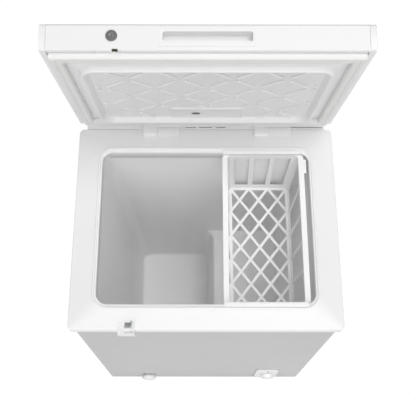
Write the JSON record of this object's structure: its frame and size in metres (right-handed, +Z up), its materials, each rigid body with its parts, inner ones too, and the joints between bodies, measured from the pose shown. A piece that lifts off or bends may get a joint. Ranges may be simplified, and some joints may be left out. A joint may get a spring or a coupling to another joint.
{
  "type": "chest freezer",
  "caption": "Small chest freezer with a hinged lid standing open, key lock, hanging basket, compressor step and front control panel.",
  "frame": {"origin": "on the floor under the middle of the footprint, taken with the lid open", "axes": "+Z up, +X to the right of someone facing the front, +Y towards the back"},
  "size_m": [0.62, 0.5662, 1.3131],
  "materials": {
    "white_paint": "smooth white enamel on steel sheet",
    "white_plastic": "white moulded plastic, satin",
    "basket_plastic": "white injection-moulded plastic",
    "liner_paint": "light grey-white coated sheet, satin",
    "gasket_vinyl": "soft white vinyl",
    "plated_steel": "plated steel",
    "galvanised_steel": "galvanised, slightly spangled",
    "copper": "drawn copper pipe",
    "black_paint": "black semi-gloss enamel",
    "black_plastic": "black moulded plastic",
    "black_rubber": "black rubber",
    "insulation_foam": "rigid polyurethane foam",
    "lamp_lens": "clear green lens"
  },
  "bodies": {
    "cabinet": {"top_frame": "white_plastic", "cabinet_shell": "white_paint", "back_panel": "white_paint", "base_pan": "galvanised_steel", "foot_front_left": "black_plastic", "foot_front_right": "black_plastic", "foot_back_left": "black_plastic", "foot_back_right": "black_plastic", "inner_liner": "liner_paint", "foam_insulation": "insulation_foam", "evaporator_coil": "copper", "condenser_coil": "copper", "compressor": "black_paint", "compressor_plate": "galvanised_steel", "grommet_a": "black_rubber", "grommet_b": "black_rubber", "grommet_c": "black_rubber", "grommet_d": "black_rubber", "compressor_relay_cover": "black_plastic", "suction_pipe": "copper", "discharge_pipe": "copper", "filter_drier": "copper", "capillary_tube": "copper", "bay_grille": "black_plastic", "lead_gland": "black_rubber", "hinge_base_left": "white_plastic", "hinge_base_right": "white_plastic", "hinge_pin_left": "plated_steel", "hinge_pin_right": "plated_steel", "lock_keeper": "white_plastic", "lock_striker": "plated_steel", "control_panel": "white_plastic", "indicator_lamp": "lamp_lens", "thermostat_body": "galvanised_steel", "drain_pipe": "white_plastic", "drain_socket": "white_plastic"},
    "lid": {"lid_top_skin": "white_paint", "lid_front_trim": "white_plastic", "lid_rear_trim": "white_plastic", "lid_end_trim_left": "white_plastic", "lid_end_trim_right": "white_plastic", "lid_liner": "white_plastic", "lid_foam": "insulation_foam", "lid_gasket": "gasket_vinyl", "handle_insert": "white_plastic", "lock_housing": "plated_steel", "hinge_leaf_left": "white_plastic", "hinge_leaf_right": "white_plastic"},
    "lock": {"lock_core": "plated_steel", "lock_cam": "galvanised_steel"},
    "basket": {"basket": "basket_plastic"},
    "knob": {"thermostat_knob": "white_plastic"},
    "outer_drain_cap": {"drain_cap": "white_plastic"},
    "inner_drain_plug": {"drain_plug": "white_plastic"}
  },
  "joints": [
    {"name": "lid_hinge", "type": "hinge", "parent": "cabinet", "child": "lid", "pos_m": [0, 0.23315, 0.81285], "axis": [1, 0, 0], "range_deg": [0, 78.7]},
    {"name": "lock_turn", "type": "hinge", "parent": "lid", "child": "lock", "pos_m": [-0.1742, 0.16216, 1.30794], "axis": [0, -0.1959, 0.9806], "range_deg": [0, 90]},
    {"name": "basket_slide", "type": "slide", "parent": "cabinet", "child": "basket", "axis": [1, 0, 0], "range_m": [-0.279, 0]},
    {"name": "thermostat_turn", "type": "hinge", "parent": "cabinet", "child": "knob", "pos_m": [0.194, -0.27295, 0.095], "axis": [0, -1, 0], "range_deg": [0, 270]},
    {"name": "drain_cap_pull", "type": "slide", "parent": "cabinet", "child": "outer_drain_cap", "axis": [0, -1, 0], "range_m": [0, 0.03]},
    {"name": "drain_plug_lift", "type": "slide", "parent": "cabinet", "child": "inner_drain_plug", "axis": [0, 0, 1], "range_m": [0, 0.03]}
  ]
}
